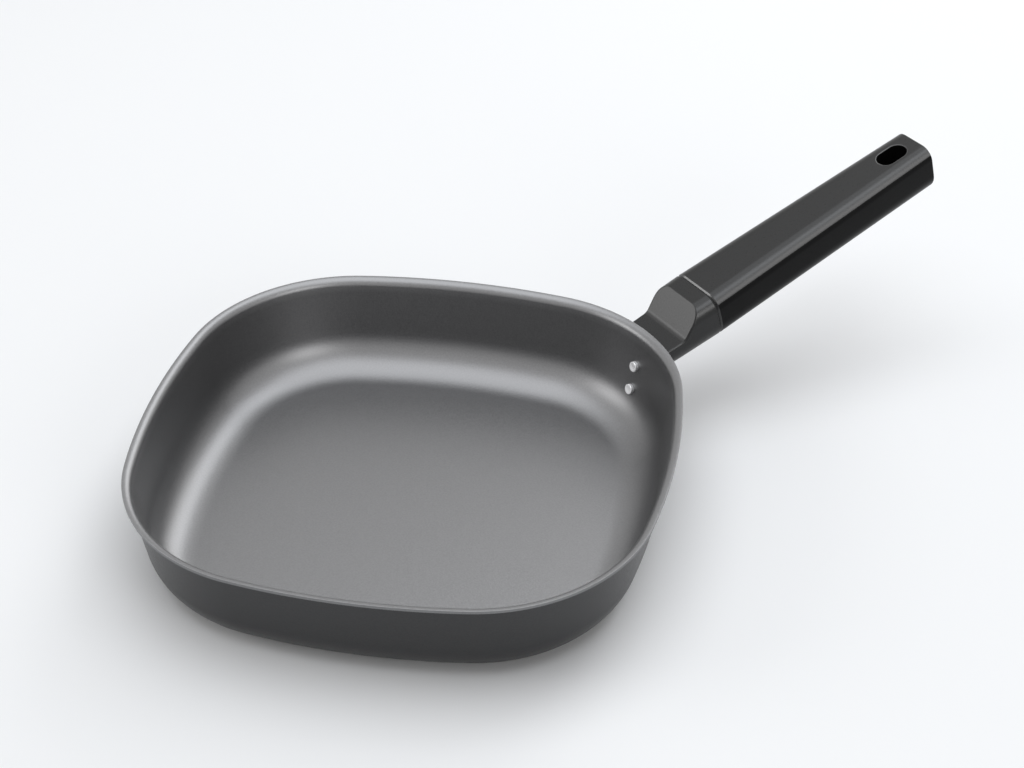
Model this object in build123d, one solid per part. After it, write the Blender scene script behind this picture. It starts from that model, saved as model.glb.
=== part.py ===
from build123d import *

import math
import os

os.makedirs("parts", exist_ok=True)

# Square iron frying pan with its handle at one corner. Lengths are millimetres and angles are degrees.
# The origin is the centre of the base's underside. +Z is up and the handle leaves the corner on +X.

# Pan body: one pressed iron sheet
HALF_WIDTH = 130.0  # centre to the lip's outer edge, across the flats
SIDE_RADIUS = 346.0  # lip edge along each side, seen from above
CORNER_RADIUS = 85.6  # lip edge round each corner, seen from above
DEPTH = 50.7  # base underside to the top of the lip
SHEET = 1.6  # iron sheet
WALL_LEAN = 9.84  # wall, from the vertical
BASE_FILLET = 23.8  # outside of the bend between wall and base
LIP_RADIUS = 4.5  # upper surface of the curled lip
LIP_FLAT = 0.2  # level strip at the lip's edge

# Rivets
RIVET_DROP = 18.9  # top of the lip to the upper rivet, on the inner wall
RIVET_SPACING = 13.3  # between the rivets' heights
RIVET_SHANK = 4.0  # diameter
RIVET_HEAD = 5.4  # diameter inside the pan
RIVET_HEAD_HEIGHT = 1.8
RIVET_TAIL = 6.8  # diameter of the formed end
RIVET_TAIL_HEIGHT = 1.8
RIVET_DOME = 0.5  # rounding of head and tail

# Handle line, from the parting between ferrule and grip
HANDLE_TILT = 15.14  # above the horizontal
PARTING_OUT = 29.3  # lip's edge at the corner to the parting's top edge
PARTING_RISE = 17.1  # parting's top edge above the lip
PARTING_GAP = 0.8

# Grip
GRIP_LENGTH = 151.5  # parting to end face
GRIP_WIDTH = 34.7
GRIP_HEIGHT = 28.4
GRIP_TOP_RADIUS = 7.8
GRIP_BOTTOM_RADIUS = 12.2
END_WIDTH = 27.0
END_HEIGHT = 29.5
END_TOP_RADIUS = 7.0
EDGE_BREAK = 0.3

# Hang slot
SLOT_INSET = 16.1  # slot's centre to the end face
SLOT_LENGTH = 17.9
SLOT_WIDTH = 10.9
SLOT_CHAMFER = 0.55

# Ferrule
FERRULE_WALL = 2.0
NECK_WIDTH = 32.8  # over the lip's edge
NECK_HEIGHT = 15.4  # ferrule under the scoop
FERRULE_CLEARANCE = 0.3  # to the pan and to the bracket
FERRULE_EDGE = 1.0  # rounding beside the low flat
SCOOP_START = 9.0  # level top between parting and scoop
SCOOP_SLOPE = 45.0
SCOOP_FILLET = 5.0

# Bracket: pressed steel
BRACKET = 2.5  # steel sheet
BRACKET_SEAT = 0.05  # gap to the pan
FLANGE_STEP = 1.0  # flange beyond the arm on each side
FLANGE_BELOW = 7.0  # flange under the lower rivet's centre
FLANGE_CORNER = 6.0
ARM_SIDE_GAP = 2.1  # between the arm and the ferrule's inside
ARM_DROP = 0.2  # between the arm's top and the ferrule's inside
TANG_WIDTH = 18.0
TANG_LENGTH = 60.0  # into the grip
TANG_CORNER = 4.0
TANG_FIT = 0.3  # gap round the tang in ferrule, gasket and grip
TANG_SEAT = 0.05  # gap between the tang's underside and the grip
BEND_RADIUS = 2.0

# Screw through the grip into the tang's nut
SCREW_PLACE = 36.0  # from the parting
SCREW_SHANK = 5.0
SCREW_HEAD = 9.5
SCREW_HEAD_HEIGHT = 3.2
SCREW_TIP = 0.4  # beyond the nut
SCREW_FIT = 0.25  # gap round the screw in tang and grip
CROSS_LENGTH = 5.2
CROSS_WIDTH = 1.1
CROSS_DEPTH = 1.8
NUT_WIDTH = 8.0
NUT_HEIGHT = 4.0
NUT_BORE_FIT = 0.05
NUT_FIT = 0.5
LEDGE = 4.0  # grip between tang and washers
RECESS_FIT = 0.7  # gap round the widest piece in the recess
FLAT_WASHER = 10.0
FLAT_WASHER_HEIGHT = 1.0
SPRING_WASHER = 9.0
SPRING_WASHER_HEIGHT = 1.3
SPRING_WASHER_SPLIT = 0.8
WASHER_FIT = 0.15  # gap round the screw in both washers
STACK_SEAT = 0.02  # gap between stacked pieces

# Gasket in the parting
GASKET_INSET = 0.7  # from the outside of the handle
GASKET_SEAT = 0.05

SINE = math.sin(math.radians(WALL_LEAN))
COSINE = math.cos(math.radians(WALL_LEAN))

# Centres of the two bends in the wall's section, as (distance in from the lip's edge, height)
LIP_CENTRE = (LIP_FLAT, DEPTH - LIP_RADIUS)
BASE_CENTRE = (
    LIP_FLAT + (LIP_RADIUS - SHEET + BASE_FILLET - (BASE_FILLET - LIP_CENTRE[1]) * SINE) / COSINE,
    BASE_FILLET,
)
BASE_END = BASE_CENTRE[0] + SHEET

# Plan of the lip's edge: four side arcs and four corner arcs, tangent to one another
SIDE_SHIFT = SIDE_RADIUS - HALF_WIDTH
SIDE_ACROSS = SIDE_SHIFT * math.sqrt(0.5)
CORNER_SHIFT = math.sqrt((SIDE_RADIUS - CORNER_RADIUS) ** 2 - SIDE_ACROSS**2) - SIDE_ACROSS
CORNER_HALF = math.degrees(math.atan2(SIDE_ACROSS, CORNER_SHIFT + SIDE_ACROSS))
SIDE_HALF = 45 - CORNER_HALF
CORNER_REACH = CORNER_SHIFT + CORNER_RADIUS

# Rivet centres on the inner wall, above the base
RIVET_HEIGHTS = {"rivet_upper": DEPTH - RIVET_DROP, "rivet_lower": DEPTH - RIVET_DROP - RIVET_SPACING}

# The handle's own frame: X along it from the parting, Z up from its top face
HANDLE = Location((CORNER_REACH + PARTING_OUT, 0, DEPTH + PARTING_RISE), (0, -HANDLE_TILT, 0))
TILT_SINE = math.sin(math.radians(HANDLE_TILT))
TILT_COSINE = math.cos(math.radians(HANDLE_TILT))

# Ferrule and arm run on past the wall, to a plane where the flat base begins, and are trimmed to the pan
LIP_PLACE = -PARTING_OUT / TILT_COSINE
TRIM_PLACE = LIP_PLACE - BASE_CENTRE[0] / TILT_COSINE
TRIM_WIDTH = GRIP_WIDTH - (GRIP_WIDTH - NECK_WIDTH) * TRIM_PLACE / LIP_PLACE
SCOOP_DEPTH = GRIP_HEIGHT - NECK_HEIGHT

# Bracket, in the handle's frame
ARM_TOP = -SCOOP_DEPTH - FERRULE_WALL - ARM_DROP
ARM_BOTTOM = ARM_TOP - BRACKET
ARM_WIDTH = NECK_WIDTH - 2 * FERRULE_WALL - 2 * ARM_SIDE_GAP
FLANGE_WIDTH = ARM_WIDTH + 2 * FLANGE_STEP
FLANGE_BOTTOM = RIVET_HEIGHTS["rivet_lower"] - FLANGE_BELOW
SHOULDER = -FERRULE_WALL - FERRULE_CLEARANCE
TANG_SLOT = TANG_WIDTH + 2 * TANG_FIT

# Screw, washers and nut, in the handle's frame
POCKET_FLOOR = ARM_BOTTOM - TANG_SEAT
LEDGE_FACE = POCKET_FLOOR - LEDGE
FLAT_WASHER_TOP = LEDGE_FACE - STACK_SEAT
SPRING_WASHER_TOP = FLAT_WASHER_TOP - FLAT_WASHER_HEIGHT - STACK_SEAT
HEAD_TOP = SPRING_WASHER_TOP - SPRING_WASHER_HEIGHT - STACK_SEAT
NUT_BOTTOM = ARM_TOP + STACK_SEAT
NUT_TOP = NUT_BOTTOM + NUT_HEIGHT
SCREW_END = NUT_TOP + SCREW_TIP
SCREW_HOLE = SCREW_SHANK + 2 * SCREW_FIT
WASHER_BORE = SCREW_SHANK + 2 * WASHER_FIT
RECESS = max(SCREW_HEAD, FLAT_WASHER, SPRING_WASHER) + 2 * RECESS_FIT


def block(x, y, z):
    """Box between two limits on each axis."""
    size = Box(x[1] - x[0], y[1] - y[0], z[1] - z[0], align=(Align.MIN, Align.MIN, Align.MIN))
    return Pos(x[0], y[0], z[0]) * size


def both_sides(width):
    """Limits of something centred on the handle's plane."""
    return (-width / 2, width / 2)


def upright(x, diameter, low, high):
    """Cylinder across the handle at a place along it, between two heights."""
    return Pos(x, 0, (low + high) / 2) * Cylinder(diameter / 2, high - low)


def section_arc(edge_radius, centre, radius, start, end):
    """Arc in the wall's section, where edge_radius is the plan radius of the lip's edge."""
    points = []
    for angle in (start, (start + end) / 2, end):
        inward = centre[0] + radius * math.cos(math.radians(angle))
        height = centre[1] + radius * math.sin(math.radians(angle))
        points.append((edge_radius - inward, 0, height))
    return ThreePointArc(*points)


def wall_run(edge_radius, depth):
    """Lip arc, wall and base arc of the surface that lies a depth outside the pan's inner surface."""
    lip = section_arc(edge_radius, LIP_CENTRE, LIP_RADIUS - depth, 90, WALL_LEAN)
    base = section_arc(edge_radius, BASE_CENTRE, BASE_FILLET - SHEET + depth, 180 + WALL_LEAN, 270)
    return [lip, Line(lip @ 1, base @ 0), base]


def sheet_section(edge_radius):
    """Section of the pressed sheet, from the lip's edge to the flat base."""
    inside = wall_run(edge_radius, 0)
    outside = wall_run(edge_radius, SHEET)
    edge_top = (edge_radius, 0, DEPTH)
    edge_bottom = (edge_radius, 0, DEPTH - SHEET)
    lip_edge = Polyline(inside[0] @ 0, edge_top, edge_bottom, outside[0] @ 0)
    inner_end = edge_radius - BASE_END
    base_edge = Polyline(inside[2] @ 1, (inner_end, 0, SHEET), (inner_end, 0, 0), outside[2] @ 1)
    return make_face(inside + outside + lip_edge.edges() + base_edge.edges())


def corner_turn(section, half_angle):
    """Section turned about the corner arc's centre, on the handle's corner."""
    turned = revolve(section, Axis.Z, 2 * half_angle)
    return Pos(CORNER_SHIFT, 0, 0) * Rot(0, 0, -half_angle) * turned


def side_turn(section):
    """Section turned about the side arc's centre, on the side after the handle's corner."""
    turned = revolve(section, Axis.Z, 2 * SIDE_HALF)
    return Rot(0, 0, 45) * Pos(-SIDE_SHIFT, 0, 0) * Rot(0, 0, -SIDE_HALF) * turned


def base_plate():
    """Flat middle of the base, inside the turned walls."""
    arcs = []
    for corner in range(4):
        round_corner = CenterArc((CORNER_SHIFT, 0), CORNER_RADIUS - BASE_END, -CORNER_HALF, 2 * CORNER_HALF)
        long_side = CenterArc((-SIDE_SHIFT, 0), SIDE_RADIUS - BASE_END, -SIDE_HALF, 2 * SIDE_HALF)
        arcs.append(Rot(0, 0, 90 * corner) * round_corner)
        arcs.append(Rot(0, 0, 90 * corner + 45) * long_side)
    return extrude(make_face(arcs), SHEET)


def rivet_frame(height):
    """Place on the inner wall under the handle, with Z outwards through the sheet."""
    inside_fillet = BASE_FILLET - SHEET
    if height >= BASE_FILLET - inside_fillet * SINE:
        lean = WALL_LEAN
        inward = LIP_CENTRE[0] + (LIP_RADIUS - (height - LIP_CENTRE[1]) * SINE) / COSINE
    else:
        lean = math.degrees(math.asin((BASE_FILLET - height) / inside_fillet))
        inward = BASE_CENTRE[0] - inside_fillet * math.cos(math.radians(lean))
    return Location((CORNER_REACH - inward, 0, height), (0, 90 + lean, 0))


def rivet_holes():
    """Cutters through sheet and flange for both rivets, which swell to fill them."""
    cutter = Cylinder(RIVET_SHANK / 2, 4 * (SHEET + BRACKET))
    return [rivet_frame(height) * cutter for height in RIVET_HEIGHTS.values()]


def pan_body():
    corner = corner_turn(sheet_section(CORNER_RADIUS), CORNER_HALF)
    side = side_turn(sheet_section(SIDE_RADIUS))
    body = base_plate() + [Rot(0, 0, 90 * turn) * piece for turn in range(4) for piece in (corner, side)]
    return body - rivet_holes()


def flange_band(inner_gap, outer_gap):
    """Turned band that follows the outside of the wall, between two gaps from it."""
    near = wall_run(CORNER_RADIUS, SHEET + inner_gap)[1:]
    far = wall_run(CORNER_RADIUS, SHEET + outer_gap)[1:]
    section = make_face(near + far + [Line(near[0] @ 0, far[0] @ 0), Line(near[1] @ 1, far[1] @ 1)])
    return corner_turn(section, CORNER_HALF)


def flange_stencil(width, bottom, top):
    """Upright plate shape, as a prism through the wall under the handle."""
    plate = Rectangle(width, top - bottom, align=(Align.CENTER, Align.MIN))
    plate = fillet(plate.vertices().group_by(Axis.Y)[0], FLANGE_CORNER)
    return Pos(0, 0, bottom) * extrude(Plane.YZ * plate, 2 * CORNER_REACH)


def wall_envelope(gap):
    """Everything inside a surface that lies a gap outside the pan, near the handle's corner."""
    run = wall_run(CORNER_RADIUS, SHEET + gap)
    lip = CORNER_RADIUS + gap
    rest = Polyline(
        run[0] @ 0,
        (lip, 0, DEPTH - SHEET - gap),
        (lip, 0, DEPTH + gap),
        (0, 0, DEPTH + gap),
        (0, 0, -gap),
        run[2] @ 1,
    )
    return corner_turn(make_face(run + rest.edges()), CORNER_HALF)


def flange_top():
    """Height where the arm's top face reaches the lip's edge, brought down to the flange."""
    along = (ARM_TOP * TILT_SINE - PARTING_OUT - SHEET - BRACKET) / TILT_COSINE
    return DEPTH + PARTING_RISE + ARM_TOP * TILT_COSINE + along * TILT_SINE


def cheek_bottom():
    """Lowest the arm's cheeks go inside the ferrule's rounded lower corners, in the handle's frame."""
    radius = GRIP_BOTTOM_RADIUS - FERRULE_WALL
    trim_half = TRIM_WIDTH / 2 - FERRULE_WALL
    aside = ARM_WIDTH / 2 - (trim_half - radius)
    centre = -GRIP_HEIGHT + FERRULE_WALL + radius
    return centre - math.sqrt(radius**2 - aside**2) + FERRULE_CLEARANCE


def handle_bracket():
    flange = flange_band(BRACKET_SEAT, BRACKET_SEAT + BRACKET)
    flange = flange & flange_stencil(FLANGE_WIDTH, FLANGE_BOTTOM, flange_top())
    reach = (TRIM_PLACE, SHOULDER)
    cheek_side = (ARM_WIDTH / 2 - BRACKET, ARM_WIDTH / 2)
    cheek = block(reach, cheek_side, (cheek_bottom(), ARM_TOP))
    arm = block(reach, both_sides(ARM_WIDTH), (ARM_BOTTOM, ARM_TOP)) + cheek + mirror(cheek, Plane.XZ)
    arm = fillet(arm.edges().filter_by(Axis.X).group_by(Axis.Z)[1], BEND_RADIUS)
    tang = block((SHOULDER, TANG_LENGTH), both_sides(TANG_WIDTH), (ARM_BOTTOM, ARM_TOP))
    tang = fillet(tang.edges().filter_by(Axis.Z).group_by(Axis.X)[-1], TANG_CORNER)
    tang = tang - upright(SCREW_PLACE, SCREW_HOLE, ARM_BOTTOM - BRACKET, ARM_TOP + BRACKET)
    arm = HANDLE * (arm + tang) - wall_envelope(BRACKET_SEAT)
    return flange + arm - rivet_holes()


def rivet(height, pan, bracket):
    """Solid rivet, its head and tail trimmed to the curved sheets that it clamps."""
    clamped = SHEET + BRACKET_SEAT + BRACKET
    head_length = RIVET_HEAD_HEIGHT + SHEET / 2
    head = Pos(0, 0, SHEET / 2 - head_length / 2) * Cylinder(RIVET_HEAD / 2, head_length)
    head = fillet(head.edges().group_by(Axis.Z)[0], RIVET_DOME)
    tail_length = RIVET_TAIL_HEIGHT + BRACKET / 2
    tail_end = clamped + RIVET_TAIL_HEIGHT
    tail = Pos(0, 0, tail_end - tail_length / 2) * Cylinder(RIVET_TAIL / 2, tail_length)
    tail = fillet(tail.edges().group_by(Axis.Z)[-1], RIVET_DOME)
    shank = Pos(0, 0, clamped / 2) * Cylinder(RIVET_SHANK / 2, clamped)
    return rivet_frame(height) * (head + shank + tail) - pan - bracket


def handle_section(along, width, height, top_radius, bottom_radius, inset=0):
    """Rounded section across the handle, drawn in by an inset."""
    outline = Rectangle(width - 2 * inset, height - 2 * inset, align=(Align.CENTER, Align.MAX))
    outline = fillet(outline.vertices().group_by(Axis.Y)[-1], top_radius - inset)
    outline = fillet(outline.vertices().group_by(Axis.Y)[0], bottom_radius - inset)
    plane = Plane(origin=(along, 0, -inset), x_dir=(0, 1, 0), z_dir=(1, 0, 0))
    return plane * outline


def parting_section(along, inset=0):
    return handle_section(along, GRIP_WIDTH, GRIP_HEIGHT, GRIP_TOP_RADIUS, GRIP_BOTTOM_RADIUS, inset)


def neck_section(inset=0):
    return handle_section(TRIM_PLACE, TRIM_WIDTH, GRIP_HEIGHT, GRIP_TOP_RADIUS, GRIP_BOTTOM_RADIUS, inset)


def scoop(depth):
    """Void over the ferrule's neck, grown by a depth into the ferrule."""
    slope = math.radians(SCOOP_SLOPE)
    start = -SCOOP_START + depth / math.sin(slope)
    low = -SCOOP_DEPTH - depth
    corner = start + low / math.tan(slope)
    above = GRIP_HEIGHT
    beyond = TRIM_PLACE + low
    slanted_top = (start + above / math.tan(slope), above)
    outline = Polyline(slanted_top, (corner, low), (beyond, low), (beyond, above), close=True)
    face = make_face(Plane.XZ * outline)
    bend = face.vertices().sort_by_distance((corner, 0, low))[0]
    return extrude(fillet(bend, SCOOP_FILLET + depth), GRIP_WIDTH, both=True)


def ferrule_shell():
    """Hollow neck in the handle's frame, before it is trimmed to the pan."""
    outside = loft([neck_section(), parting_section(0)], ruled=True)
    outside = chamfer(outside.faces().sort_by(Axis.X)[-1].edges(), EDGE_BREAK)
    inside = loft([neck_section(FERRULE_WALL), parting_section(-FERRULE_WALL, FERRULE_WALL)], ruled=True)
    shell = outside - scoop(0)
    low_edges = shell.edges().filter_by(lambda edge: abs(edge.center().Z + SCOOP_DEPTH) < EDGE_BREAK / 10)
    shell = fillet(low_edges.filter_by(lambda edge: abs(edge.center().Y) > NECK_WIDTH / 4), FERRULE_EDGE)
    slot_height = (ARM_BOTTOM - TANG_FIT, ARM_TOP + TANG_FIT)
    slot = block((-2 * FERRULE_WALL, FERRULE_WALL), both_sides(TANG_SLOT), slot_height)
    return shell - (inside - scoop(FERRULE_WALL)) - slot


def ferrule():
    shell = HANDLE * ferrule_shell() - wall_envelope(FERRULE_CLEARANCE)
    flange_space = flange_band(0, BRACKET_SEAT + BRACKET + FERRULE_CLEARANCE)
    stencil = flange_stencil(FLANGE_WIDTH + 2 * FERRULE_CLEARANCE, 0, flange_top() + FERRULE_CLEARANCE)
    rivet_reach = SHEET + BRACKET_SEAT + BRACKET + RIVET_TAIL_HEIGHT + FERRULE_CLEARANCE
    relief = Cylinder(RIVET_TAIL / 2 + FERRULE_CLEARANCE, 2 * rivet_reach)
    return shell - (flange_space & stencil) - rivet_frame(RIVET_HEIGHTS["rivet_upper"]) * relief


def ferrule_gasket():
    plate = extrude(parting_section(GASKET_SEAT, GASKET_INSET), PARTING_GAP - 2 * GASKET_SEAT)
    window_height = (ARM_BOTTOM - TANG_FIT, SCREW_END + TANG_FIT)
    window = block((-PARTING_GAP, 2 * PARTING_GAP), both_sides(TANG_SLOT), window_height)
    return HANDLE * (plate - window)


def hang_slot():
    """Slot through the grip with a chamfered mouth on top."""
    slot = extrude(SlotOverall(SLOT_LENGTH, SLOT_WIDTH), 2 * END_HEIGHT, both=True)
    mouth = SlotOverall(SLOT_LENGTH + 2 * SLOT_CHAMFER, SLOT_WIDTH + 2 * SLOT_CHAMFER)
    return Pos(GRIP_LENGTH - SLOT_INSET, 0, 0) * (slot + extrude(mouth, -2 * SLOT_CHAMFER, taper=45))


def grip():
    end_section = handle_section(GRIP_LENGTH, END_WIDTH, END_HEIGHT, END_TOP_RADIUS, GRIP_BOTTOM_RADIUS)
    body = loft([parting_section(PARTING_GAP), end_section], ruled=True)
    ends = body.faces().sort_by(Axis.X)
    body = chamfer(ends[0].edges() + ends[-1].edges(), EDGE_BREAK)
    tang_space = block(
        (0, TANG_LENGTH + TANG_FIT),
        both_sides(TANG_SLOT),
        (POCKET_FLOOR, ARM_TOP + TANG_FIT),
    )
    nut_space = block(
        (0, SCREW_PLACE + NUT_WIDTH / 2 + NUT_FIT),
        both_sides(NUT_WIDTH + 2 * NUT_FIT),
        (POCKET_FLOOR, SCREW_END + TANG_FIT),
    )
    screw_space = upright(SCREW_PLACE, SCREW_HOLE, LEDGE_FACE - LEDGE, ARM_TOP)
    recess = upright(SCREW_PLACE, RECESS, -2 * GRIP_HEIGHT, LEDGE_FACE)
    return HANDLE * (body - tang_space - nut_space - screw_space - recess - hang_slot())


def tang_nut():
    nut = block(
        (SCREW_PLACE - NUT_WIDTH / 2, SCREW_PLACE + NUT_WIDTH / 2),
        both_sides(NUT_WIDTH),
        (NUT_BOTTOM, NUT_TOP),
    )
    bore = upright(SCREW_PLACE, SCREW_SHANK + 2 * NUT_BORE_FIT, LEDGE_FACE, SCREW_END)
    return HANDLE * (nut - bore)


def washer(diameter, height, top):
    ring = upright(SCREW_PLACE, diameter, top - height, top)
    return ring - upright(SCREW_PLACE, WASHER_BORE, top - 2 * height, top + height)


def flat_washer():
    return HANDLE * washer(FLAT_WASHER, FLAT_WASHER_HEIGHT, FLAT_WASHER_TOP)


def spring_washer():
    ring = washer(SPRING_WASHER, SPRING_WASHER_HEIGHT, SPRING_WASHER_TOP)
    split = block(
        (SCREW_PLACE, SCREW_PLACE + SPRING_WASHER),
        both_sides(SPRING_WASHER_SPLIT),
        (SPRING_WASHER_TOP - 2 * SPRING_WASHER_HEIGHT, SPRING_WASHER_TOP + SPRING_WASHER_HEIGHT),
    )
    return HANDLE * (ring - split)


def grip_screw():
    head = upright(SCREW_PLACE, SCREW_HEAD, HEAD_TOP - SCREW_HEAD_HEIGHT, HEAD_TOP)
    head = fillet(head.edges().group_by(Axis.Z)[0], SCREW_HEAD_HEIGHT / 3)
    shank = upright(SCREW_PLACE, SCREW_SHANK, HEAD_TOP - EDGE_BREAK, SCREW_END)
    cross_height = (HEAD_TOP - 2 * SCREW_HEAD_HEIGHT, HEAD_TOP - SCREW_HEAD_HEIGHT + CROSS_DEPTH)
    slot = block(both_sides(CROSS_LENGTH), both_sides(CROSS_WIDTH), cross_height)
    cross = Pos(SCREW_PLACE, 0, 0) * (slot + Rot(0, 0, 90) * slot)
    return HANDLE * (head + shank - cross)


def main():
    """Make every piece and write it to its own file."""
    pan = pan_body()
    bracket = handle_bracket()
    pieces = {
        "pan_body": pan,
        "handle_bracket": bracket,
        "ferrule": ferrule(),
        "ferrule_gasket": ferrule_gasket(),
        "grip": grip(),
        "tang_nut": tang_nut(),
        "flat_washer": flat_washer(),
        "spring_washer": spring_washer(),
        "grip_screw": grip_screw(),
    }
    for name, height in RIVET_HEIGHTS.items():
        pieces[name] = rivet(height, pan, bracket)
    for name, piece in pieces.items():
        export_step(piece, f"parts/{name}.step")


main()
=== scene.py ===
# %% [markdown]
# # Square iron frying pan
# A square frying pan is pressed from one thick iron sheet, and its handle leaves one corner. A black
# ferrule covers the bracket that two rivets hold to the pan, and a black grip follows it. The model of
# its parts is already measured, so this lesson gives each part its real surface, in the same place.

# %% Load the measured pan
import math

import bmesh
import bpy
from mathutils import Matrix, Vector


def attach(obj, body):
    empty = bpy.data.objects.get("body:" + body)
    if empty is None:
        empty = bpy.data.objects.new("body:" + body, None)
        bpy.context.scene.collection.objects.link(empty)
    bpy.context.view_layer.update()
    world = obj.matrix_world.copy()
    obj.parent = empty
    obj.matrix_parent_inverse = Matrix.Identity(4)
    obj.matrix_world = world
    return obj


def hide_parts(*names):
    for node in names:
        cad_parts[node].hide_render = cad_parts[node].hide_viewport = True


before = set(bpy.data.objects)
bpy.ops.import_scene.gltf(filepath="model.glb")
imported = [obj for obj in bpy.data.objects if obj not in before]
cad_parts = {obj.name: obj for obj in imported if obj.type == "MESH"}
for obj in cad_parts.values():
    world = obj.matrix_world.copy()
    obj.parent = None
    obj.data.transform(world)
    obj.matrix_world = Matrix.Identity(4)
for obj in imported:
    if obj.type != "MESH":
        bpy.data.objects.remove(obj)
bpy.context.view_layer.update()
bpy.ops.object.select_all(action="DESELECT")
print("measured parts:", sorted(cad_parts))

# %% [markdown]
# ## Sizes
# Blender works in metres, and a pan is easier to think of in millimetres, so each size is written in
# millimetres times MM. The pan's plan is four long side arcs and four corner arcs that meet smoothly,
# and these few values are enough to find where each arc has its centre.

# %% Sizes of the pan
MM = 0.001
HALF_WIDTH = 130 * MM
SIDE_RADIUS = 346 * MM
CORNER_RADIUS = 85.6 * MM
DEPTH = 50.7 * MM
SHEET = 1.6 * MM
WALL_LEAN = math.radians(9.84)
BASE_FILLET = 23.8 * MM
LIP_RADIUS = 4.5 * MM
LIP_FLAT = 0.2 * MM

side_shift = SIDE_RADIUS - HALF_WIDTH
side_across = side_shift * math.sqrt(0.5)
corner_shift = math.sqrt((SIDE_RADIUS - CORNER_RADIUS) ** 2 - side_across**2) - side_across
corner_half = math.atan2(side_across, corner_shift + side_across)
side_half = math.radians(45) - corner_half
corner_reach = corner_shift + CORNER_RADIUS
print("lip's edge at the corner, mm:", round(corner_reach / MM, 2))

# %% [markdown]
# ## Drawing by hand
# Each new part starts as one point. Extruding the point draws a straight line, and spinning it draws
# an exact arc, so a section is drawn as a drafter would draw it. Selecting is done by place, because
# an operator works on whatever is selected.

# %% Helpers for drawing and selecting
def only(part=None):
    """Leaves edit mode and selects one part, or none."""
    if bpy.context.mode != "OBJECT":
        bpy.ops.object.mode_set(mode="OBJECT")
    bpy.ops.object.select_all(action="DESELECT")
    if part:
        part.select_set(True)
        bpy.context.view_layer.objects.active = part


def draw_from(name, place):
    """A new part with a single point, left in edit mode."""
    only()
    bpy.ops.mesh.primitive_plane_add(size=MM)
    part = bpy.context.object
    part.name = part.data.name = name
    bpy.ops.object.mode_set(mode="EDIT")
    bpy.ops.mesh.select_mode(type="VERT")
    bpy.ops.mesh.merge(type="CENTER")
    bpy.ops.transform.translate(value=place)
    return part


def line(x, y, z, whole=False):
    """Extrudes what is selected, or the whole drawing, along a straight line."""
    if whole:
        bpy.ops.mesh.select_all(action="SELECT")
    bpy.ops.mesh.extrude_region_move(TRANSFORM_OT_translate={"value": (x, y, z)})


def turn(angle, centre, axis, steps, copies=False):
    """Spins what is selected about an axis, anticlockwise seen from the axis's tip."""
    bpy.ops.mesh.spin(steps=steps, dupli=copies, angle=-angle, center=centre, axis=axis)


def pick(part, kind, test):
    """Selects the points, edges or faces that pass a test, and no others."""
    bpy.ops.mesh.select_all(action="DESELECT")
    shape = bmesh.from_edit_mesh(part.data)
    shape.normal_update()
    for item in getattr(shape, kind):
        if test(item):
            item.select_set(True)
    shape.select_flush_mode()
    found = sum(item.select for item in getattr(shape, kind))
    bmesh.update_edit_mesh(part.data)
    return found


def near(value, target, slack=0.01 * MM):
    return abs(value - target) < slack


# %% [markdown]
# A finished part must be one clean closed skin: no doubled points, faces outwards, and smooth where
# it is meant to be smooth. Weighted normals keep the flats looking flat beside their rounded edges.

# %% Helpers for finishing a part
def weld(part):
    """Merges doubled points and turns every face outwards."""
    bpy.ops.mesh.select_all(action="SELECT")
    bpy.ops.mesh.remove_doubles(threshold=0.005 * MM)
    bpy.ops.mesh.normals_make_consistent(inside=False)


def modify(part, kind, **settings):
    """Adds one modifier and applies it."""
    only(part)
    modifier = part.modifiers.new(kind.title(), kind)
    for name, value in settings.items():
        setattr(modifier, name, value)
    bpy.ops.object.modifier_apply(modifier=modifier.name)


def cut(part, cutter):
    """Takes a closed cutter out of a part, then throws the cutter away."""
    modify(part, "BOOLEAN", object=cutter, operation="DIFFERENCE", solver="EXACT")
    bpy.data.objects.remove(cutter, do_unlink=True)


def place_along_handle(part):
    """Moves a part drawn in the handle's own frame to the pan's corner."""
    only(part)
    part.location = handle_origin
    part.rotation_euler = (0, -handle_tilt, 0)
    bpy.ops.object.transform_apply(location=True, rotation=True, scale=True)


def smooth(part, angle):
    """Smooth shading up to an angle, with the flats kept flat."""
    only(part)
    bpy.ops.object.shade_smooth_by_angle(angle=math.radians(angle))
    modify(part, "WEIGHTED_NORMAL", keep_sharp=True)
    triangles = sum(len(face.vertices) - 2 for face in part.data.polygons)
    print(part.name, "has", triangles, "triangles")


# %% [markdown]
# ## Camera
# The photograph looks down on the near left of the pan, from about 0.7 metres above the table, with a
# long lens, which keeps the far side nearly as large as the near one. The camera's place and lens
# come from a camera fit to the photograph.

# %% Camera at the photograph's angle
lens = bpy.data.cameras.new("Camera")
lens.lens = 76.73
lens.sensor_width = 36
lens.clip_start = 0.05
camera = bpy.data.objects.new("Camera", lens)
bpy.context.scene.collection.objects.link(camera)
camera.location = (-0.43277, -0.72488, 0.68350)
backwards = Vector((-0.4558, -0.6710, 0.5848))
camera.rotation_euler = (-backwards).to_track_quat("-Z", "Y").to_euler()
bpy.context.scene.camera = camera
bpy.context.scene.view_settings.view_transform = "Standard"
print("camera height above the table, m:", camera.location.z)

# %% [markdown]
# ## Studio
# Dark metal shows its surroundings more than its own colour, so the studio is plain: a pale table, a
# white room and large soft lamps. The room is white to the camera and in reflections, and dimmer
# for the soft fill light, so that the lamps shape the pan and its shadow.

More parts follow.
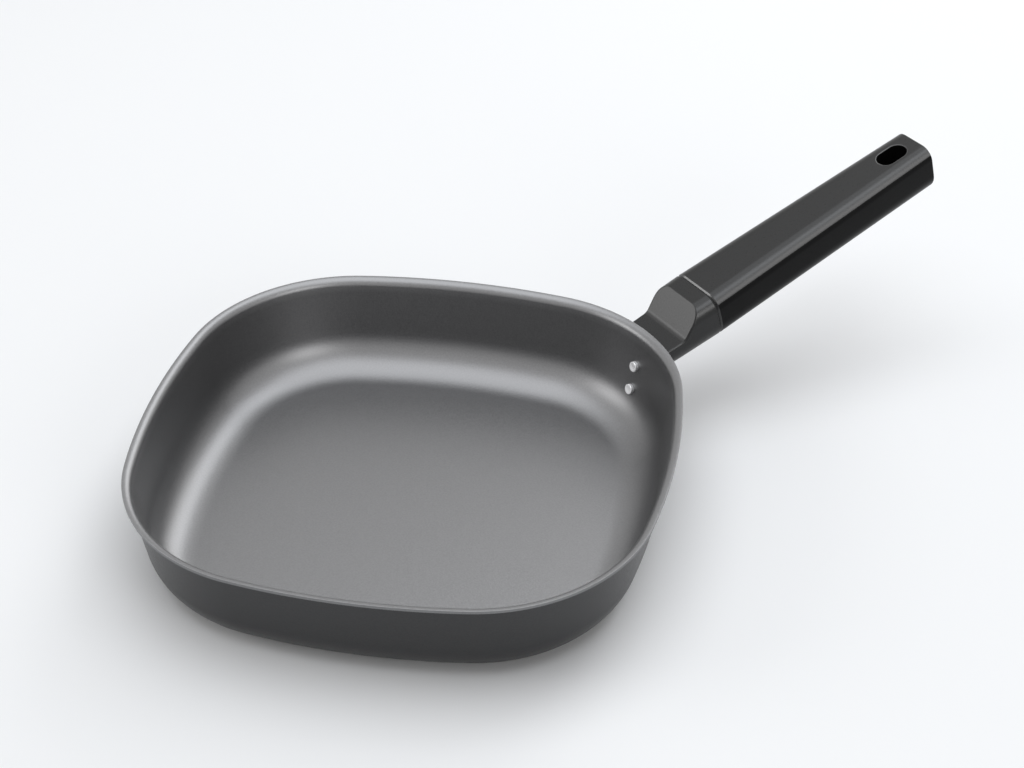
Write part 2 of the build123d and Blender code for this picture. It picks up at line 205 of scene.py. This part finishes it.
# %% Pale table
TABLE_SIZE = 3.4
bpy.ops.mesh.primitive_plane_add(size=TABLE_SIZE)
table = bpy.context.object
table.name = "Table"
bpy.ops.object.mode_set(mode="EDIT")
bpy.ops.mesh.subdivide(number_cuts=3)
bpy.ops.object.mode_set(mode="OBJECT")
pale = bpy.data.materials.new("Pale table")
pale.use_nodes = True
pale_shader = pale.node_tree.nodes["Principled BSDF"]
PALE = 0.86
pale_shader.inputs["Base Color"].default_value = (PALE, PALE, PALE, 1)
pale_shader.inputs["Roughness"].default_value = 0.9
pale_shader.inputs["Specular IOR Level"].default_value = 0.1
table.data.materials.append(pale)
print("table side, m:", TABLE_SIZE)

# %% [markdown]
# The room's strength is full for camera, glossy and transmission rays and low for all others.

# %% White room
FILL = 0.31
room = bpy.data.worlds.new("White room")
bpy.context.scene.world = room
room.use_nodes = True
nodes, links = room.node_tree.nodes, room.node_tree.links
background = nodes["Background"]
background.inputs["Color"].default_value = (1, 1, 1, 1)
path = nodes.new("ShaderNodeLightPath")
seen = nodes.new("ShaderNodeMath")
seen.operation = "MAXIMUM"
also_glass = nodes.new("ShaderNodeMath")
also_glass.operation = "MAXIMUM"
strength = nodes.new("ShaderNodeMapRange")
strength.inputs["To Min"].default_value = FILL
strength.inputs["To Max"].default_value = 1
links.new(path.outputs["Is Camera Ray"], seen.inputs[0])
links.new(path.outputs["Is Glossy Ray"], seen.inputs[1])
links.new(seen.outputs[0], also_glass.inputs[0])
links.new(path.outputs["Is Transmission Ray"], also_glass.inputs[1])
links.new(also_glass.outputs[0], strength.inputs["Value"])
links.new(strength.outputs[0], background.inputs["Strength"])
print("room's fill light:", FILL)


# %% [markdown]
# Five softboxes light everything. Their powers come from a least-squares fit of single-lamp renders
# to the photograph, and were changed afterwards. They are one lighting that comes near its
# greys, and it may have been taken in another.

# %% Soft lamps
WHITE = (1, 1, 1)
COOL = (0.93, 0.96, 1.0)
AIM = Vector((0.05, 0, 0.05))


def soft_lamp(name, around, above, power, size=1.1, distance=2.0, colour=WHITE):
    """A round softbox that faces the pan, from an angle around it and an angle above the table."""
    lamp = bpy.data.lights.new(name, "AREA")
    lamp.shape = "DISK"
    lamp.size = size
    lamp.energy = power
    lamp.color = colour
    holder = bpy.data.objects.new(name, lamp)
    bpy.context.scene.collection.objects.link(holder)
    around, above = math.radians(around), math.radians(above)
    level = math.cos(above)
    towards = Vector((math.cos(around) * level, math.sin(around) * level, math.sin(above)))
    holder.location = AIM + towards * distance
    holder.rotation_euler = (-towards).to_track_quat("-Z", "Y").to_euler()
    print(name, "at", [round(value, 2) for value in holder.location])
    return holder


soft_lamp("Near softbox", 270, 22, 6.8)
soft_lamp("Overhead softbox", 0, 90, 32, size=2.8, colour=COOL)
soft_lamp("Low left softbox", 150, 22, 7.6)
soft_lamp("Right softbox", 18, 45, 6.4, colour=COOL)
soft_lamp("Low right softbox", 30, 22, 7.2)

# %% [markdown]
# ## Finishes
# A finish is a shader whose colour, gloss and relief are worked by noise. The noise reads the part's
# own coordinates, so it stays in place when the part is seen from another side.

# %% Helpers for a finish
def finish(name, colour, metal, gloss):
    """A new material and its shader, with the values that are the same all over."""
    material = bpy.data.materials.new(name)
    material.use_nodes = True
    shader = material.node_tree.nodes["Principled BSDF"]
    shader.inputs["Base Color"].default_value = (*colour, 1)
    shader.inputs["Metallic"].default_value = metal
    shader.inputs["Specular IOR Level"].default_value = gloss
    return material


def grain(material, size, detail=2, stretch=(1, 1, 1)):
    """Noise on the part's own coordinates, with features of a real size."""
    nodes, links = material.node_tree.nodes, material.node_tree.links
    where = nodes.new("ShaderNodeTexCoord")
    mapping = nodes.new("ShaderNodeMapping")
    mapping.inputs["Scale"].default_value = stretch
    noise = nodes.new("ShaderNodeTexNoise")
    noise.inputs["Scale"].default_value = 1 / size
    noise.inputs["Detail"].default_value = detail
    links.new(where.outputs["Object"], mapping.inputs["Vector"])
    links.new(mapping.outputs["Vector"], noise.inputs["Vector"])
    return noise.outputs["Fac"]


def vary(material, source, low, high):
    """Spreads a noise between two values."""
    spread = material.node_tree.nodes.new("ShaderNodeMapRange")
    spread.inputs["From Min"].default_value = 0.3
    spread.inputs["From Max"].default_value = 0.7
    spread.inputs["To Min"].default_value = low
    spread.inputs["To Max"].default_value = high
    material.node_tree.links.new(source, spread.inputs["Value"])
    return spread.outputs["Result"]


def tint(material, source, dark, light):
    """Blends two colours by a value from 0 to 1 and gives them to the shader."""
    nodes, links = material.node_tree.nodes, material.node_tree.links
    mix = nodes.new("ShaderNodeMix")
    mix.data_type = "RGBA"
    mix.inputs["A"].default_value = (*dark, 1)
    mix.inputs["B"].default_value = (*light, 1)
    links.new(source, mix.inputs["Factor"])
    links.new(mix.outputs["Result"], nodes["Principled BSDF"].inputs["Base Color"])


def rough(material, source, low, high):
    links = material.node_tree.links
    shader = material.node_tree.nodes["Principled BSDF"]
    links.new(vary(material, source, low, high), shader.inputs["Roughness"])


def relief(material, source, height):
    """Bumps the surface by a noise, with a real height."""
    nodes, links = material.node_tree.nodes, material.node_tree.links
    bump = nodes.new("ShaderNodeBump")
    bump.inputs["Distance"].default_value = height
    links.new(source, bump.inputs["Height"])
    links.new(bump.outputs["Normal"], nodes["Principled BSDF"].inputs["Normal"])


# %% [markdown]
# The iron is dark grey metal, satin rather than polished, with a fine grain. The outside is about a
# third as light as the inside, and the inner wall a fifth darker than the base. Both were chosen
# because the render's greys then match the photograph's. Both are painted shade: a darker colour that
# stands in for the dimmer light that the outside and the inner wall mirror. One photograph can't tell
# a darker surface from one that gets less light, so these two differences are guesses about the iron.

# %% Iron
def iron_finish(name, dark, light):
    iron = finish(name, light, 1, 0.5)
    fine = grain(iron, 0.9 * MM, detail=3)
    tint(iron, vary(iron, fine, 0, 1), dark, light)
    rough(iron, fine, 0.34, 0.42)
    relief(iron, fine, 0.045 * MM)
    return iron


# The inner wall's band of darker colour is painted shade, not the iron's own colour.
WALL_SHADE_BAND = ((0.24, False), (0.46, True), (0.86, True), (0.93, False))


def paint_wall_shade(iron, share):
    """Paints shade on the wall by multiplying its colour, between the bend and the lip, in shares of the
    depth.
    """
    nodes, links = iron.node_tree.nodes, iron.node_tree.links
    where = nodes.new("ShaderNodeTexCoord")
    apart = nodes.new("ShaderNodeSeparateXYZ")
    height = nodes.new("ShaderNodeMapRange")
    height.inputs["From Max"].default_value = DEPTH
    ramp = nodes.new("ShaderNodeValToRGB")
    stops = ramp.color_ramp.elements
    for number, (position, darker) in enumerate(WALL_SHADE_BAND):
        stop = stops[number] if number < 2 else stops.new(position)
        stop.position = position
        stop.color = (share, share, share, 1) if darker else (1, 1, 1, 1)
    blend = nodes.new("ShaderNodeMix")
    blend.data_type, blend.blend_type = "RGBA", "MULTIPLY"
    blend.inputs["Factor"].default_value = 1
    shader_colour = nodes["Principled BSDF"].inputs["Base Color"]
    links.new(where.outputs["Object"], apart.inputs["Vector"])
    links.new(apart.outputs["Z"], height.inputs["Value"])
    links.new(height.outputs["Result"], ramp.inputs["Fac"])
    links.new(shader_colour.links[0].from_socket, blend.inputs["A"])
    links.new(ramp.outputs["Color"], blend.inputs["B"])
    links.new(blend.outputs["Result"], shader_colour)


iron_inside = iron_finish("Iron inside", (0.19, 0.19, 0.193), (0.215, 0.215, 0.217))
# The outside's darker colour is painted shade.
iron_outside_painted_shade = iron_finish("Iron outside, painted shade", (0.063, 0.063, 0.065), (0.073, 0.073, 0.073))
# The inside's wall band is painted shade.
paint_wall_shade(iron_inside, 0.78)
print("finishes of the iron:", iron_inside.name, "and", iron_outside_painted_shade.name)


# %% [markdown]
# Rivets are pale matt steel. Screw, nut, washers and bracket are plated, which is darker and a little
# glossier. The photograph shows only the rivets' heads, so the plating is a guess.

# %% Steels
def steel_finish(name, colour, low, high):
    steel = finish(name, colour, 1, 0.5)
    fine = grain(steel, 0.6 * MM, stretch=(1, 1, 3))
    tint(steel, vary(steel, fine, 0, 1), [value * 0.93 for value in colour], colour)
    rough(steel, fine, low, high)
    relief(steel, fine, 0.003 * MM)
    return steel


rivet_steel = steel_finish("Rivet steel", (0.9, 0.9, 0.91), 0.5, 0.6)
plated_steel = steel_finish("Plated steel", (0.56, 0.56, 0.57), 0.3, 0.4)
print("steels:", rivet_steel.name, "and", plated_steel.name)


# %% [markdown]
# Ferrule and grip are both black: the ferrule as enamelled metal, the grip as moulded plastic with a
# fine satin texture, and the gasket between them as dull rubber. The colours of ferrule and grip are
# about a tenth of those in the part's record. The handle's sides mirror the pale table here, and are
# nearly black in the photograph, so the colour was lowered to make up for part of that.

# %% Black finishes
FINE_GRAIN = 0.5 * MM
CLOUD_GRAIN = 18 * MM


def black_finish(name, dark, light, gloss, low, high, height):
    """A black whose grey drifts from dark to light and whose roughness lies between low and high."""
    black = finish(name, (light,) * 3, 0, gloss)
    fine = grain(black, FINE_GRAIN)
    cloud = grain(black, CLOUD_GRAIN, detail=3)
    tint(black, vary(black, cloud, 0, 1), (dark,) * 3, (light,) * 3)
    rough(black, fine, low, high)
    relief(black, fine, height)
    return black


enamel = black_finish("Ferrule enamel", 0.003, 0.004, 0.35, 0.27, 0.31, 0.0015 * MM)
plastic = black_finish("Grip plastic", 0.0022, 0.0032, 0.08, 0.27, 0.33, 0.006 * MM)
plastic_buffed = black_finish("Buffed plastic", 0.0022, 0.0032, 0.36, 0.27, 0.33, 0.004 * MM)
# This edge finish is lighter in colour than the grip: a painted highlight for the chamfers by the seam and
# at the slot's mouth. Its higher gloss is the shader's own.
highlight_edge_plastic = black_finish("Plastic edge with painted highlight", 0.006, 0.010, 0.8, 0.24, 0.34, 0.006 * MM)
rubber = black_finish("Gasket rubber", 0.010, 0.014, 0.3, 0.6, 0.7, 0.006 * MM)
print("black finishes:", enamel.name, plastic.name, plastic_buffed.name, highlight_edge_plastic.name, rubber.name)

# %% [markdown]
# ## Pan
# The pan is pressed from one sheet, so only its inner surface is drawn and the sheet's thickness is
# added at the end. A box with rounded edges would also do, but its rounded corners would not have
# the exact arcs that shape the highlight round the base. So the section is drawn once, on the middle
# of the handle's corner: a level strip, the curled lip, the leaning wall, the bend and the base.

# %% Pan section
lip_centre = (LIP_FLAT, DEPTH - LIP_RADIUS)
sine, cosine = math.sin(WALL_LEAN), math.cos(WALL_LEAN)
to_base = LIP_RADIUS - SHEET + BASE_FILLET - (BASE_FILLET - lip_centre[1]) * sine
base_centre = (LIP_FLAT + to_base / cosine, BASE_FILLET)
bend_angle = math.radians(90) - WALL_LEAN


def draw_wall(depth):
    """From the lip's level strip to the flat base, a depth below the inner surface."""
    lip, base = LIP_RADIUS - depth, BASE_FILLET - SHEET + depth
    line(-LIP_FLAT, 0, 0)
    turn(bend_angle, (corner_reach - lip_centre[0], 0, lip_centre[1]), (0, -1, 0), 12)
    inwards = base_centre[0] - base * cosine - (lip_centre[0] + lip * cosine)
    downwards = base_centre[1] - base * sine - (lip_centre[1] + lip * sine)
    line(-inwards, 0, downwards)
    turn(bend_angle, (corner_reach - base_centre[0], 0, base_centre[1]), (0, 1, 0), 20)


pan = draw_from("Pan", (corner_reach, 0, DEPTH))
draw_wall(0)
line(-SHEET, 0, 0)
print("pan section drawn with", len(bmesh.from_edit_mesh(pan.data).verts), "points")

# %% [markdown]
# Spinning the section about the centre of each plan arc sweeps a quarter of the pan: half a corner,
# one side and half the next corner. Three spun copies complete the ring.

# %% Sweep the pan's ring
upwards = (0, 0, 1)
bpy.ops.mesh.select_all(action="SELECT")
turn(corner_half, (corner_shift, 0, 0), upwards, 14)
turn(2 * side_half, (-side_across, -side_across, 0), upwards, 16)
turn(corner_half, (0, corner_shift, 0), upwards, 14)
bpy.ops.mesh.select_all(action="SELECT")
turn(math.radians(270), (0, 0, 0), upwards, 3, copies=True)
weld(pan)
print("ring points:", len(bmesh.from_edit_mesh(pan.data).verts))

# %% [markdown]
# The hole in the middle is filled with one flat face and inset, so that its rings follow the walls.
# The wall's normals must point into the pan before the sheet is given its thickness downwards.

# %% Fill the base and give the sheet its thickness
pick(pan, "edges", lambda edge: edge.is_boundary and all(near(point.co.z, SHEET) for point in edge.verts))
bpy.ops.mesh.edge_face_add()
for ring in range(3):
    bpy.ops.mesh.inset(thickness=12 * MM)
bpy.ops.mesh.select_all(action="SELECT")
bpy.ops.mesh.normals_make_consistent(inside=False)
shape = bmesh.from_edit_mesh(pan.data)
lowest = min(shape.faces, key=lambda face: face.calc_center_median().z)
if lowest.normal.z < 0:
    bpy.ops.mesh.flip_normals()
pan.data.materials.append(iron_inside)
# The outer faces get the iron whose darker colour is painted shade.
pan.data.materials.append(iron_outside_painted_shade)
sheet = {"thickness": SHEET, "offset": -1, "use_even_offset": True}
modify(pan, "SOLIDIFY", material_offset=1, material_offset_rim=0, **sheet)
modify(pan, "BEVEL", width=0.3 * MM, segments=3, limit_method="ANGLE", angle_limit=math.radians(60))
smooth(pan, 40)

# %% [markdown]
# ## Handle's own frame
# Ferrule and grip are straight, so they are drawn lying along X and then tilted into place at the
# corner. Zero is the seam between them, on the handle's top face.

# %% Sizes along the handle
handle_tilt = math.radians(15.14)
handle_origin = (corner_reach + 29.3 * MM, 0, DEPTH + 17.1 * MM)
GRIP_LENGTH = 151.5 * MM
SEAM = 0.8 * MM
print("seam on top of the handle, mm:", [round(value / MM, 1) for value in handle_origin])


# %% [markdown]
# A section across the handle starts as a rectangle, whose corners are then rounded.

# %% Section across the handle
def handle_section(along, width, height, top_radius, bottom_radius):
    """A rectangle across the handle with rounded corners, at a place along it."""
    part = draw_from("Section", (along, -width / 2, -height))
    line(0, width, 0)
    line(0, 0, height, whole=True)
    pick(part, "verts", lambda point: near(point.co.z, 0))
    bpy.ops.mesh.bevel(offset=top_radius, segments=10, affect="VERTICES")
    pick(part, "verts", lambda point: near(point.co.z, -height))
    bpy.ops.mesh.bevel(offset=bottom_radius, segments=10, affect="VERTICES")
    only(part)
    return part


def bridge(name, first, second, cuts):
    """Joins two sections with straight faces and closes both ends."""
    only(first)
    second.select_set(True)
    bpy.ops.object.join()
    first.name = first.data.name = name
    bpy.ops.object.mode_set(mode="EDIT")
    bpy.ops.mesh.select_mode(type="VERT")
    bpy.ops.mesh.select_all(action="SELECT")
    bpy.ops.mesh.delete(type="ONLY_FACE")
    bpy.ops.mesh.select_all(action="SELECT")
    bpy.ops.mesh.bridge_edge_loops(number_cuts=cuts, interpolation="LINEAR")
    shape = bmesh.from_edit_mesh(first.data)
    ends = [min(point.co.x for point in shape.verts), max(point.co.x for point in shape.verts)]
    for end in ends:
        pick(first, "edges", lambda edge: all(near(point.co.x, end) for point in edge.verts))
        bpy.ops.mesh.edge_face_add()
    weld(first)
    return first


# %% [markdown]
# ## Grip
# The grip is moulded. It narrows to its end, its top is flat with rounded edges, and its underside
# is rounder. Two sections bridged with straight faces give exactly that taper. The edge that faces
# the ferrule has a chamfer with a glossier finish and a lighter colour, for the bright line that the
# photograph shows beside the seam. The lighter colour is a painted highlight, and the slot's mouth has it
# too.

# %% Grip body
grip = bridge(
    "Grip",
    handle_section(SEAM, 34.7 * MM, 28.4 * MM, 7.8 * MM, 12.2 * MM),
    handle_section(GRIP_LENGTH, 27.0 * MM, 29.5 * MM, 7.0 * MM, 12.2 * MM),
    12,
)
grip.data.materials.append(plastic)
grip.data.materials.append(highlight_edge_plastic)
for end, width, segments, slot in ((SEAM, 0.85 * MM, 1, 1), (GRIP_LENGTH, 0.4 * MM, 3, 0)):
    pick(grip, "edges", lambda edge: all(near(point.co.x, end) for point in edge.verts))
    bpy.ops.mesh.bevel(offset=width, segments=segments, affect="EDGES", material=slot)
print("grip body points:", len(bmesh.from_edit_mesh(grip.data).verts))

# %% [markdown]
# The hang slot is a long hole through the grip. Its cutter is two half circles and two straight
# lines, spun and extruded from one point, then pushed through the grip.

# %% Hang slot
SLOT_CENTRE = GRIP_LENGTH - 16.1 * MM
SLOT_RADIUS = 10.9 / 2 * MM
SLOT_STRAIGHT = (17.9 - 10.9) * MM


def slot_cutter():
    ends = [SLOT_CENTRE + side * SLOT_STRAIGHT / 2 for side in (-1, 1)]
    cutter = draw_from("Slot cutter", (ends[1], -SLOT_RADIUS, -60 * MM))
    turn(math.pi, (ends[1], 0, 0), upwards, 24)
    line(-SLOT_STRAIGHT, 0, 0)
    turn(math.pi, (ends[0], 0, 0), upwards, 24)
    bpy.ops.mesh.select_all(action="SELECT")
    bpy.ops.mesh.edge_face_add()
    line(0, 0, 120 * MM)
    weld(cutter)
    return cutter


cut(grip, slot_cutter())
bpy.ops.object.mode_set(mode="EDIT")
bpy.ops.mesh.select_mode(type="EDGE")


def on_mouth(edge):
    """True for a sharp edge of the slot in the handle's flat top."""
    inside = (near(point.co.z, 0) and abs(point.co.x - SLOT_CENTRE) < 10 * MM for point in edge.verts)
    return edge.calc_face_angle(0) > math.radians(60) and all(inside)


print("slot mouth edges:", pick(grip, "edges", on_mouth))
# The slot's mouth gets the edge finish, whose lighter colour is a painted highlight.
bpy.ops.mesh.bevel(offset=0.55 * MM, segments=2, affect="EDGES", material=1)

# %% [markdown]
# Inside the grip are the pocket for the bracket's tang and its nut, and a round recess underneath
# for the screw that holds them. They are cut where the measured bracket, nut and screw are.

# %% Pocket and screw recess
SCREW_PLACE = 36 * MM
POCKET_BOTTOM = -17.75 * MM
TANG_POCKET = ((-1 * MM, 60.3 * MM), (-9.3 * MM, 9.3 * MM), (POCKET_BOTTOM, -14.9 * MM))
NUT_POCKET = ((-1 * MM, 40.5 * MM), (-4.5 * MM, 4.5 * MM), (POCKET_BOTTOM, -10.4 * MM))
SCREW_HOLE_RADIUS = 2.75 * MM
RECESS_RADIUS = 5.7 * MM


def box_cutter(x, y, z):
    cutter = draw_from("Box cutter", (x[0], y[0], z[0]))
    line(x[1] - x[0], 0, 0)
    line(0, y[1] - y[0], 0, whole=True)
    line(0, 0, z[1] - z[0], whole=True)
    weld(cutter)
    return cutter


def round_cutter(x, radius, low, high):
    cutter = draw_from("Round cutter", (x + radius, 0, low))
    turn(2 * math.pi, (x, 0, 0), upwards, 48)
    weld(cutter)
    bpy.ops.mesh.edge_face_add()
    line(0, 0, high - low)
    weld(cutter)
    return cutter


cut(grip, box_cutter(*TANG_POCKET))
cut(grip, box_cutter(*NUT_POCKET))
cut(grip, round_cutter(SCREW_PLACE, SCREW_HOLE_RADIUS, -24 * MM, -16 * MM))
cut(grip, round_cutter(SCREW_PLACE, RECESS_RADIUS, -50 * MM, -21.75 * MM))
place_along_handle(grip)
smooth(grip, 30)

# %% [markdown]
# In the photograph the grip's top is clearly lighter than its side. Over a pale table one gloss
# doesn't give both, because the side mirrors the table, so the faces that look up get a glossier
# finish. This is a choice for the picture: nothing shows that the real grip has two finishes.

# %% Glossier top
LOOKS_UP = 0.5
handle_top = Vector((-math.sin(handle_tilt), 0, math.cos(handle_tilt)))
grip.data.materials.append(plastic_buffed)
top_slot = len(grip.data.materials) - 1
for face in grip.data.polygons:
    if face.material_index == 0 and face.normal.dot(handle_top) > LOOKS_UP:
        face.material_index = top_slot
print("faces with the glossier finish:", sum(face.material_index == top_slot for face in grip.data.polygons))

# %% [markdown]
# ## Rivets
# A rivet is turned, so half its outline is drawn and spun round once: a flat head inside the pan, a
# shank, and the tail outside. Only the heads show in the photograph, so the tails are a guess.

# %% Rivet outline
HEAD_RADIUS, HEAD_HEIGHT = 2.7 * MM, 1.8 * MM
TAIL_RADIUS, TAIL_HEIGHT = 3.4 * MM, 1.8 * MM
SHANK_RADIUS = 2.0 * MM
CLAMPED = 4.15 * MM
SUNK = 0.3 * MM
FACE_RADIUS, RING_WIDTH, FACE_SUNK = 1.5 * MM, 0.3 * MM, 0.08 * MM


def draw_rivet(name):
    edge, dome = 0.25 * MM, 0.5 * MM
    part = draw_from(name, (0, 0, FACE_SUNK - HEAD_HEIGHT))
    line(FACE_RADIUS, 0, 0)
    line(RING_WIDTH, 0, -FACE_SUNK)
    line(HEAD_RADIUS - edge - (FACE_RADIUS + RING_WIDTH), 0, 0)
    turn(math.radians(90), (HEAD_RADIUS - edge, 0, edge - HEAD_HEIGHT), (0, -1, 0), 5)
    line(0, 0, HEAD_HEIGHT - edge + SUNK)
    line(SHANK_RADIUS - HEAD_RADIUS, 0, 0)
    line(0, 0, CLAMPED - 2 * SUNK)
    line(TAIL_RADIUS - SHANK_RADIUS, 0, 0)
    line(0, 0, TAIL_HEIGHT - dome + SUNK)
    turn(math.radians(90), (TAIL_RADIUS - dome, 0, CLAMPED + TAIL_HEIGHT - dome), (0, -1, 0), 6)
    line(dome - TAIL_RADIUS, 0, 0)
    bpy.ops.mesh.select_all(action="SELECT")
    turn(2 * math.pi, (0, 0, 0), upwards, 48)
    weld(part)
    return part


print("rivet length, mm:", round((HEAD_HEIGHT + CLAMPED + TAIL_HEIGHT) / MM, 2))

# %% [markdown]
# Each rivet stands square to the wall. The lower one is where the wall has begun to bend.

# %% Rivets in the wall
def rivet_place(height):
    """Distance from the centre and lean of the wall where a rivet goes through it."""
    bend = BASE_FILLET - SHEET
    if height > BASE_FILLET - bend * sine:
        inward = lip_centre[0] + (LIP_RADIUS - (height - lip_centre[1]) * sine) / cosine
        return corner_reach - inward, WALL_LEAN
    lean = math.asin((BASE_FILLET - height) / bend)
    return corner_reach - (base_centre[0] - bend * math.cos(lean)), lean


rivets = {}
for node, height in (("rivet_upper", 31.8 * MM), ("rivet_lower", 18.5 * MM)):
    rivet = draw_rivet(node.replace("_", " ").title().replace(" ", "_"))
    only(rivet)
    out, lean = rivet_place(height)
    rivet.location = (out, 0, height)
    rivet.rotation_euler = (0, math.radians(90) + lean, 0)
    bpy.ops.object.transform_apply(location=True, rotation=True, scale=True)
    rivet.data.materials.append(rivet_steel)
    smooth(rivet, 30)
    rivets[node] = rivet

# %% [markdown]
# ## Measured parts that stay
# The ferrule, bracket, gasket, nut, washers and screw keep their measured shapes, and only their
# material slots change.

# %% Finishes of the measured parts
kept = {
    "ferrule": enamel,
    "handle_bracket": plated_steel,
    "ferrule_gasket": rubber,
    "tang_nut": plated_steel,
    "flat_washer": plated_steel,
    "spring_washer": plated_steel,
    "grip_screw": plated_steel,
}
for node, material in kept.items():
    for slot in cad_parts[node].material_slots:
        slot.material = material
print("measured parts with a finish:", len(kept))

# %% [markdown]
# ## Gloss on the handle
# A black handle shows form only by its gloss, so a studio aims reflector cards at it. These four lamps
# are such cards. They reach only grip and ferrule, and only as reflections, where the photograph has
# a broad band along the near edge and a pale slanted face. In a scene without them the handle has
# less gloss than here.

# %% Reflector cards
handle_surfaces = bpy.data.collections.new("Handle surfaces")
handle_surfaces.objects.link(grip)
handle_surfaces.objects.link(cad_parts["ferrule"])
for name, around, above, power, colour in (
    ("Near low card", 300, 30, 15, WHITE),
    ("Near high card", 310, 60, 11, COOL),
    ("Left card", 138, 20, 10, WHITE),
    ("Left high card", 121, 42, 4, WHITE),
):
    card = soft_lamp(name, around, above, power, colour=colour)
    card.visible_diffuse = False
    card.light_linking.receiver_collection = handle_surfaces

# %% [markdown]
# ## Parts on the body
# Nothing on this pan moves, so every part rides on the one body. Each new part hides the measured
# part it stands for.

# %% Ride and replace
for part, node, finish_slot in (
    (pan, "pan_body", "iron"),
    (grip, "grip", "grip_black"),
    (rivets["rivet_upper"], "rivet_upper", "rivet_steel"),
    (rivets["rivet_lower"], "rivet_lower", "rivet_steel"),
):
    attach(part, "root")
    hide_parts(node)
